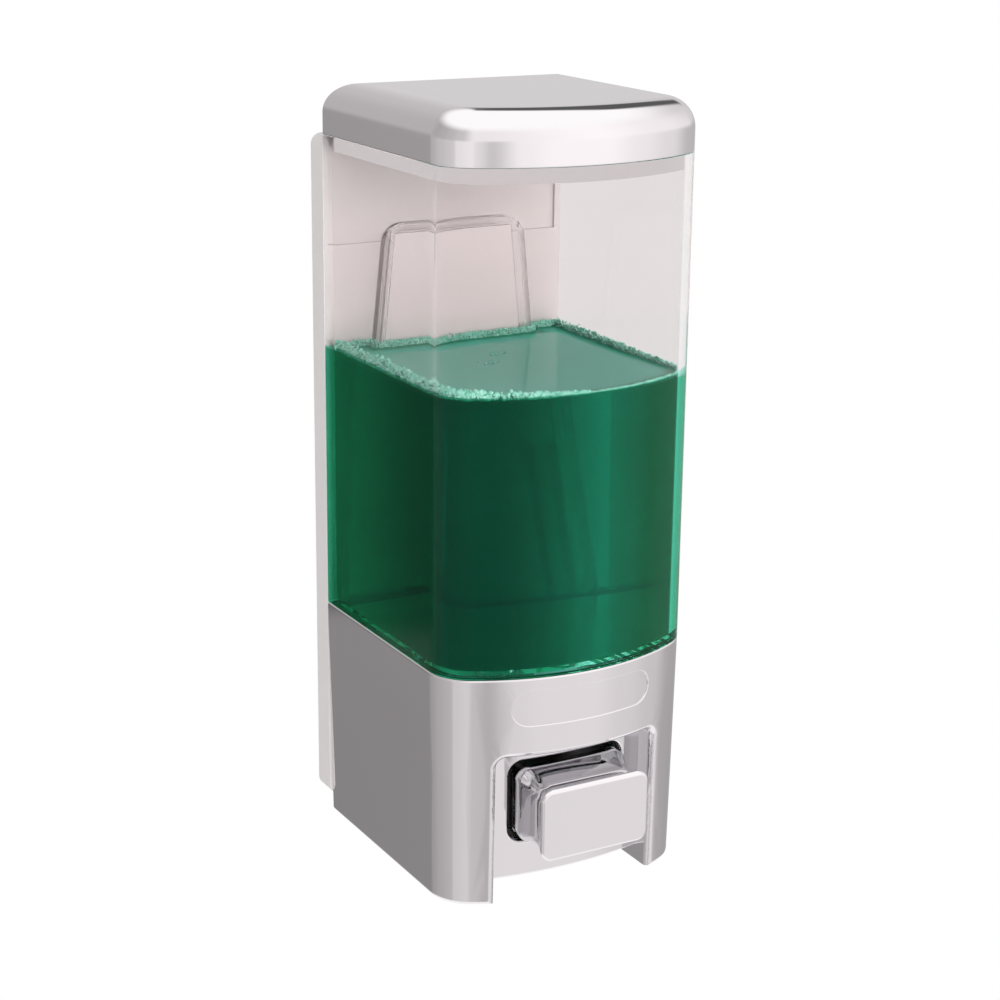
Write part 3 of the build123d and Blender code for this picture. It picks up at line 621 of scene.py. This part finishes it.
def finish(name, colours, rough, scale, grain, depth, **settings):
    """A material with the mottle group on its colour, roughness and bump, and plain values on other sockets,
    which are named with _ for a space."""
    material = bpy.data.materials.new(name)
    material.use_nodes = True
    tree = material.node_tree
    shader = tree.nodes["Principled BSDF"]
    mottle = put(
        tree, "ShaderNodeGroup",
        {
            "Scale": scale, "Grain Scale": grain, "Rough A": rough[0], "Rough B": rough[1],
            "Colour A": opaque(colours[0]), "Colour B": opaque(colours[1]),
        },
        node_tree=MOTTLE,
    ).outputs
    bump = put(tree, "ShaderNodeBump", {"Strength": 1.0, "Distance": depth, "Height": mottle["Height"]})
    feed(tree, shader, {
        "Base Color": mottle["Colour"], "Roughness": mottle["Roughness"], "Normal": bump.outputs["Normal"],
    })
    feed(tree, shader, {socket.replace("_", " "): value for socket, value in settings.items()})
    return material


def paint_over(material, factor, colour):
    """Mixes another colour over a material's own by a factor."""
    tree = material.node_tree
    shader = tree.nodes["Principled BSDF"]
    own = shader.inputs["Base Color"].links[0].from_socket
    feed(tree, shader, {"Base Color": mix_colour(tree, factor, own, colour)})


def see_through(material, tint):
    """Light for shadows and soft bounces passes straight through, tinted, so that what is inside is lit."""
    tree = material.node_tree
    path = put(tree, "ShaderNodeLightPath").outputs
    passing = math_node(tree, "MAXIMUM", path["Is Shadow Ray"], path["Is Diffuse Ray"])
    clear = put(tree, "ShaderNodeBsdfTransparent", {"Color": opaque(tint)}).outputs["BSDF"]
    surface = mix_shader(tree, passing, tree.nodes["Principled BSDF"].outputs["BSDF"], clear)
    feed(tree, tree.nodes["Material Output"], {"Surface": surface})


# Plating: a darker colour where it is seen in other plating, painted shade in its reflections
PLATED_PAINTED_SHADE = (0.70, 0.695, 0.71)


def painted_shade_in_mirrors(material, colour):
    """Another, darker colour for what is seen by reflection, but not through the clear wall: painted shade in
    reflections.
    """
    tree = material.node_tree
    path = put(tree, "ShaderNodeLightPath").outputs
    mirrored = math_node(tree, "SUBTRACT", path["Is Glossy Ray"], path["Is Transmission Ray"], clamp=True)
    paint_over(material, mirrored, opaque(colour))


PLATED = finish(
    "bright_plating", ((0.80, 0.775, 0.785), (0.775, 0.75, 0.76)), rough=(0.035, 0.075),
    scale=35.0, grain=120.0, depth=0.0000008, Metallic=1.0,
)
# Painted shade: plating seen in reflections takes the darker colour
painted_shade_in_mirrors(PLATED, PLATED_PAINTED_SHADE)

# Clear wall: green where soap stands against it, with painted shade by the front left corner and a painted
# glow along the floor's edge
WET_LINE = SOAP_TOP + MENISCUS
WET_BLUR = 0.4
WET_STRAIGHT = (0.24, 0.80, 0.70)
WET_SLANTING = (0.02, 0.36, 0.18)
SLANT_SPAN = (0.22, 0.38)
# Painted shade by the front left corner: its centre, shape, span and depth
SHADE_CENTRE = (-CORNER_X * MM, CORNER_Y * MM, 0.0)
SHADE_SHAPE = (1.8, 1.0, 0.0)
SHADE_SPAN = (12.0 * MM, 52.0 * MM)
SHADE_DEPTH = (0.42, 1.0)
# Painted glow at the tank floor's edge: its span of height and its colour
PAINTED_GLOW_SPAN = ((FLOOR_TOP + 0.2) * MM, (FLOOR_TOP + 0.8) * MM)
PAINTED_GLOW_COLOUR = (0.0012, 0.014, 0.007)


def wetted(material):
    """Below the soap's line the wall takes the green of the liquid that stands against it, deeper where the
    wall is seen aslant, and darkened by painted shade towards the front left corner."""
    tree = material.node_tree
    place, height = object_place(tree)
    facing = put(tree, "ShaderNodeLayerWeight").outputs["Facing"]
    green = mix_colour(tree, map_range(tree, facing, SLANT_SPAN), opaque(WET_STRAIGHT), opaque(WET_SLANTING))
    # Painted shade: the green darkens smoothly towards the front left corner
    away = vector_node(tree, "SUBTRACT", {0: place, 1: SHADE_CENTRE})
    far = vector_node(tree, "LENGTH", {0: vector_node(tree, "MULTIPLY", {0: away, 1: SHADE_SHAPE})}, "Value")
    shade = map_range(tree, far, SHADE_SPAN, SHADE_DEPTH, smooth=True)
    below = map_range(tree, height, ((WET_LINE - WET_BLUR) * MM, (WET_LINE + WET_BLUR) * MM), (1.0, 0.0))
    paint_over(material, below, vector_node(tree, "SCALE", {0: green, "Scale": shade}))


def painted_floor_glow(material):
    """A faint green painted glow in the edge of the tank's floor, fading upwards, though nothing there is a
    lamp.
    """
    tree = material.node_tree
    _, height = object_place(tree)
    glow = mix_colour(tree, map_range(tree, height, PAINTED_GLOW_SPAN), opaque(PAINTED_GLOW_COLOUR), grey(0.0))
    feed(tree, tree.nodes["Principled BSDF"], {"Emission Color": glow, "Emission Strength": 1.0})


CLEAR = finish(
    "clear_moulding", ((0.885, 0.862, 0.862), (0.87, 0.847, 0.847)), rough=(0.0, 0.015),
    scale=25.0, grain=60.0, depth=0.000001,
    Transmission_Weight=1.0, IOR=1.25, Specular_Tint=grey(0.3),
)
see_through(CLEAR, (0.985, 0.975, 0.975))
wetted(CLEAR)
painted_floor_glow(CLEAR)

# Soap
SOAP_SHADOW = (0.4, 0.75, 0.6)
SOAP_DEPTH_COLOUR = (0.0, 0.72, 0.68)
SOAP_DENSITY = 36.0
# Painted shade where the surface climbs the walls: its span of height and its colour
CLIMB_SPAN = ((SOAP_TOP + 0.01) * MM, (SOAP_TOP + 0.08) * MM)
CLIMB_SHADE_COLOUR = (0.02, 0.30, 0.17)


def soap_finish(name, colours, **settings):
    """Green liquid: a little hazy, with further depth of colour in its volume."""
    material = finish(name, colours, rough=(0.0, 0.01), scale=30.0, grain=40.0, depth=0.000001, **settings)
    see_through(material, SOAP_SHADOW)
    tree = material.node_tree
    absorb = put(
        tree, "ShaderNodeVolumeAbsorption", {"Color": opaque(SOAP_DEPTH_COLOUR), "Density": SOAP_DENSITY},
    )
    feed(tree, tree.nodes["Material Output"], {"Volume": absorb.outputs["Volume"]})
    return material


def shade_at_walls(material, colour):
    """Where the liquid climbs the walls its surface is a darker green, by height above the level part:
    painted shade along the wall line.
    """
    tree = material.node_tree
    _, height = object_place(tree)
    paint_over(material, map_range(tree, height, CLIMB_SPAN), opaque(colour))


SOAP = soap_finish(
    "green_soap", ((0.12, 0.58, 0.41), (0.06, 0.40, 0.27)),
    Transmission_Weight=0.88, IOR=1.36, Specular_Tint=grey(0.0),
)
SOAP_SURFACE = soap_finish(
    "soap_surface", ((0.12, 0.58, 0.44), (0.09, 0.50, 0.37)), Transmission_Weight=0.3, IOR=1.18,
)
shade_at_walls(SOAP_SURFACE, CLIMB_SHADE_COLOUR)
FOAM = finish(
    "soap_froth", ((0.56, 1.0, 0.84), (0.0, 0.36, 0.24)), rough=(0.05, 0.15),
    scale=700.0, grain=900.0, depth=0.00001, Transmission_Weight=0.2, IOR=1.3,
)
LOOSE = finish(
    "loose_bubbles", ((0.34, 0.74, 0.62), (0.20, 0.60, 0.48)), rough=(0.05, 0.15),
    scale=220.0, grain=900.0, depth=0.00001, Transmission_Weight=0.4, IOR=1.3,
)

# Other mouldings and metal
PLATE = finish(
    "pale_moulding", ((0.675, 0.650, 0.646), (0.655, 0.63, 0.626)), rough=(0.38, 0.5),
    scale=50.0, grain=1400.0, depth=0.000012,
)
# The hanger's pale moulding, partly its own colour and partly painted light: lighter than the wall plate's,
# so the pocket behind the tank reads brighter
HOOK_PAINTED_LIGHTER = finish(
    "hook_moulding_painted_light", ((0.73, 0.695, 0.69), (0.71, 0.675, 0.67)), rough=(0.38, 0.5),
    scale=50.0, grain=1400.0, depth=0.000012,
)
BLACK = finish(
    "black_moulding", ((0.012, 0.012, 0.013), (0.02, 0.02, 0.021)), rough=(0.32, 0.48),
    scale=70.0, grain=1600.0, depth=0.00001,
)
PUMP = finish(
    "natural_moulding", ((0.72, 0.71, 0.68), (0.66, 0.65, 0.62)), rough=(0.35, 0.5),
    scale=60.0, grain=1200.0, depth=0.00001, Subsurface_Weight=0.15, Subsurface_Scale=0.002,
)
RUBBER = finish(
    "seal_rubber", ((0.03, 0.03, 0.032), (0.05, 0.05, 0.05)), rough=(0.55, 0.75),
    scale=90.0, grain=1500.0, depth=0.00002,
)
SCREW = finish(
    "zinc_screw", ((0.62, 0.62, 0.6), (0.5, 0.5, 0.5)), rough=(0.25, 0.4),
    scale=150.0, grain=2200.0, depth=0.000008, Metallic=1.0,
)
SPRING = finish(
    "spring_wire", ((0.55, 0.55, 0.56), (0.45, 0.45, 0.46)), rough=(0.22, 0.34),
    scale=200.0, grain=2600.0, depth=0.000006, Metallic=1.0,
)

# Pieces
for piece, body, node, slot, material in (
    (make_lid(), "lid", "lid", "plated_plastic", PLATED),
    (smooth_copy("clear_tank", "tank", MOULDED_LIMIT), "dispenser", "tank", "clear_plastic", CLEAR),
    (make_soap(), "dispenser", "soap", "soap", SOAP),
    (smooth_copy("plated_housing", "housing", MOULDED_LIMIT),
     "dispenser", "housing", "plated_plastic", PLATED),
    (make_button(), "button", "button", "plated_plastic", PLATED),
    *((froth(*row), "dispenser", None, "soap", FOAM) for row in FROTH),
    (make_stray_bubbles(), "dispenser", None, "soap", LOOSE),
):
    piece.data.materials.clear()
    piece.data.materials.append(material)
    if material is SOAP:
        piece.data.materials.append(SOAP_SURFACE)
        mark_surface(piece)
    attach(piece, body)
    if node:
        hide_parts(node)

# Springs: smooth copies of the coils, each attached to its joint's parent body
for joint in frame["record"]["behaviour"]["joints"]:
    for spring in joint.get("deforming_nodes", ()):
        node = spring["node"]
        coil = smooth_copy(node.replace("spring", "coil"), node, WIRE_LIMIT)
        coil.data.materials.clear()
        coil.data.materials.append(SPRING)
        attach(coil, joint["parent"])
        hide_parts(node)
        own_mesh(coil)

# CAD nodes that stay, by finish
for material, names in (
    (PLATE, ("wall_plate",)),
    (HOOK_PAINTED_LIGHTER, ("hanger",)),
    (BLACK, ("guide_frame",)),
    (PUMP, ("pump_body", "pump_cap", "plunger", "inlet_seat", "nozzle")),
    (RUBBER, ("piston_seal", "inlet_valve", "inlet_gasket", "nozzle_seal")),
    (SCREW, ("housing_screws", "pump_screws", "guide_screws")),
    (SPRING, ("outlet_ball",)),
):
    for name in names:
        for place in frame["nodes"][name].material_slots:
            place.material = material

# Stage: floor, light and camera; light runs far inside the clear wall, so many bounces are let through
scene = bpy.context.scene
scene.view_settings.view_transform = "Standard"
scene.cycles.use_denoising = True
scene.cycles.max_bounces = 40
scene.cycles.transmission_bounces = 32
scene.cycles.glossy_bounces = 32
scene.cycles.transparent_max_bounces = 24
scene.cycles.sample_clamp_indirect = 6.0

# Floor, in millimetres
STAGE_HALF = 30000.0
STAGE_LEVEL = -300.0
STAGE_GREY = 0.9
STAGE_ROUGHNESS = 0.9

# Sky brightness as stops of (degrees from +X towards +Y, grey), below the horizon and above it
SKY_TINT = (1.0, 0.975, 0.985)
SKY_LOW = (
    (-180, 0.57), (-169, 0.60), (-160, 0.76), (-127, 0.82), (-117, 0.74), (-110, 0.57), (-96, 0.88),
    (-80, 0.95), (-55, 0.95), (-36, 0.84), (-15, 0.72), (0, 0.48), (30, 0.45), (80, 0.40),
    (113, 0.30), (121, 0.34), (130, 0.43), (160, 0.52), (180, 0.57),
)
SKY_HIGH = (
    (-180, 0.6), (-150, 0.7), (-120, 1.05), (-60, 1.25), (-20, 1.1), (20, 0.80), (45, 0.70), (64, 0.70),
    (85, 0.64), (115, 0.56), (140, 0.5), (165, 0.55), (180, 0.6),
)

# Spans of height in the sky, as sines of elevation, and what they lead to
HORIZON = (-0.06, 0.10)
LOW_LIFT = ((-0.42, -0.10), (0.96, 1.28))
UNDERFOOT = ((-0.72, -0.52), 1.1)
OVERHEAD = ((0.50, 0.80), 1.25)

# Dark cards in the sky: rise and fall in height, rise and fall as shares of a turn from -X by -Y, grey
FLAG = ((-0.352, -0.338), (-0.215, -0.175), (0.76, 0.79), (0.87, 0.90), 0.06)
GAP = ((0.36, 0.46), (0.72, 0.82), (0.57, 0.60), (0.665, 0.685), 0.12)

# Lamps, in metres and watts
LAMP_AIM = (0.0, -0.05, 0.0)
LAMPS = (
    # name, place, width and height, power
    ("key_light", (0.0, -1.4, 0.2), (0.8, 0.6), 14.0),
    ("fill_light", (0.9, -0.9, 0.3), (0.6, 0.9), 2.0),
)

# Camera, in millimetres, worked out from the object's edges in the photograph
CAMERA_PLACE = (-288.702, -552.848, 174.478)
CAMERA_RIGHT = (0.872996, -0.487600, 0.011115)
CAMERA_UP = (0.131066, 0.256489, 0.957619)
CAMERA_FORWARD = (0.469786, 0.834542, -0.287822)
CAMERA_SENSOR = 36.0
CAMERA_LENS = 79.91


def make_floor():
    """A flat pale sheet, far wider than the view; to the eye it is evenly lit, and light falls on it as
    usual."""
    corners = np.array(((-1.0, -1.0), (1.0, -1.0), (1.0, 1.0), (-1.0, 1.0))) * STAGE_HALF
    floor = mesh_piece("floor", at_height(corners, STAGE_LEVEL), [(0, 1, 2, 3)])
    material = bpy.data.materials.new("pale_floor")
    material.use_nodes = True
    tree = material.node_tree
    shader = tree.nodes["Principled BSDF"]
    feed(tree, shader, {"Base Color": grey(STAGE_GREY), "Roughness": STAGE_ROUGHNESS})
    path = put(tree, "ShaderNodeLightPath").outputs
    seen = math_node(tree, "MAXIMUM", path["Is Camera Ray"], path["Is Transmission Ray"])
    glow = put(tree, "ShaderNodeEmission").outputs["Emission"]
    surface = mix_shader(tree, seen, shader.outputs["BSDF"], glow)
    feed(tree, tree.nodes["Material Output"], {"Surface": surface})
    floor.data.materials.append(material)
    floor.visible_glossy = False


def bearing_ramp(tree, turn, stops):
    """Brightness by compass bearing, from stops of degrees and grey."""
    ramp = put(tree, "ShaderNodeValToRGB", {"Fac": turn})
    ramp.color_ramp.interpolation = "EASE"
    points = ramp.color_ramp.elements
    while len(points) < len(stops):
        points.new(0.5)
    for point, (degrees, brightness) in zip(points, stops):
        point.position = (degrees + 180.0) / 360.0
        point.color = opaque(brightness * share for share in SKY_TINT)
    return ramp.outputs["Color"]


def band(tree, source, rise, fall):
    """A mask that rises smoothly over one span of a value and falls over another."""
    return math_node(
        tree, "MULTIPLY",
        map_range(tree, source, rise, smooth=True), map_range(tree, source, fall, (1.0, 0.0), smooth=True),
    )


def make_sky():
    """The studio round the object: brightness by compass bearing, one ramp for below the horizon and one for
    above, mixed by height, with light underfoot and overhead and two dark cards; plain white straight to the
    eye."""
    world = bpy.data.worlds.new("studio")
    scene.world = world
    world.use_nodes = True
    tree = world.node_tree
    tree.nodes.clear()
    place = put(tree, "ShaderNodeTexCoord").outputs["Generated"]
    split = put(tree, "ShaderNodeSeparateXYZ", {"Vector": place}).outputs
    height = split["Z"]
    turn = map_range(tree, math_node(tree, "ARCTAN2", split["Y"], split["X"]), (-math.pi, math.pi))

    def with_card(room, height_rise, height_fall, turn_rise, turn_fall, brightness):
        """The room with a card of a plain grey in it."""
        tall = band(tree, height, height_rise, height_fall)
        wide = band(tree, turn, turn_rise, turn_fall)
        return mix_colour(tree, math_node(tree, "MULTIPLY", tall, wide), room, grey(brightness))

    lift = map_range(tree, height, *LOW_LIFT, smooth=True)
    low = vector_node(tree, "SCALE", {0: bearing_ramp(tree, turn, SKY_LOW), "Scale": lift})
    high = bearing_ramp(tree, turn, SKY_HIGH)
    room = mix_colour(tree, map_range(tree, height, HORIZON, smooth=True), low, high)
    room = with_card(room, *FLAG)
    span, brightness = UNDERFOOT
    room = mix_colour(tree, map_range(tree, height, span, (1.0, 0.0), smooth=True), room, grey(brightness))
    span, brightness = OVERHEAD
    room = mix_colour(tree, map_range(tree, height, span, smooth=True), room, grey(brightness))
    room = with_card(room, *GAP)
    studio, white = (
        put(tree, "ShaderNodeBackground", {"Color": colour}).outputs["Background"]
        for colour in (room, grey(1.0))
    )
    seen = put(tree, "ShaderNodeLightPath").outputs["Is Camera Ray"]
    put(tree, "ShaderNodeOutputWorld", {"Surface": mix_shader(tree, seen, studio, white)})


def soft_box(name, place, size, power):
    """A rectangular soft light turned to the object."""
    lamp = bpy.data.lights.new(name, "AREA")
    lamp.shape = "RECTANGLE"
    lamp.size, lamp.size_y = size
    lamp.energy = power
    holder = bpy.data.objects.new(name, lamp)
    holder.location = place
    holder.rotation_euler = (Vector(LAMP_AIM) - Vector(place)).to_track_quat("-Z", "Y").to_euler()
    holder.visible_glossy = False
    holder.visible_transmission = False
    bpy.context.collection.objects.link(holder)


def make_camera():
    """The eye of the photograph: its place, and its turn as columns of right, up and backward."""
    data = bpy.data.cameras.new("camera")
    data.sensor_width = CAMERA_SENSOR
    data.lens = CAMERA_LENS
    camera = bpy.data.objects.new("camera", data)
    turn = Matrix((CAMERA_RIGHT, CAMERA_UP, -Vector(CAMERA_FORWARD))).transposed().to_4x4()
    camera.matrix_world = Matrix.Translation(Vector(CAMERA_PLACE) * MM) @ turn
    bpy.context.collection.objects.link(camera)
    scene.camera = camera


make_floor()
make_sky()
for row in LAMPS:
    soft_box(*row)
make_camera()
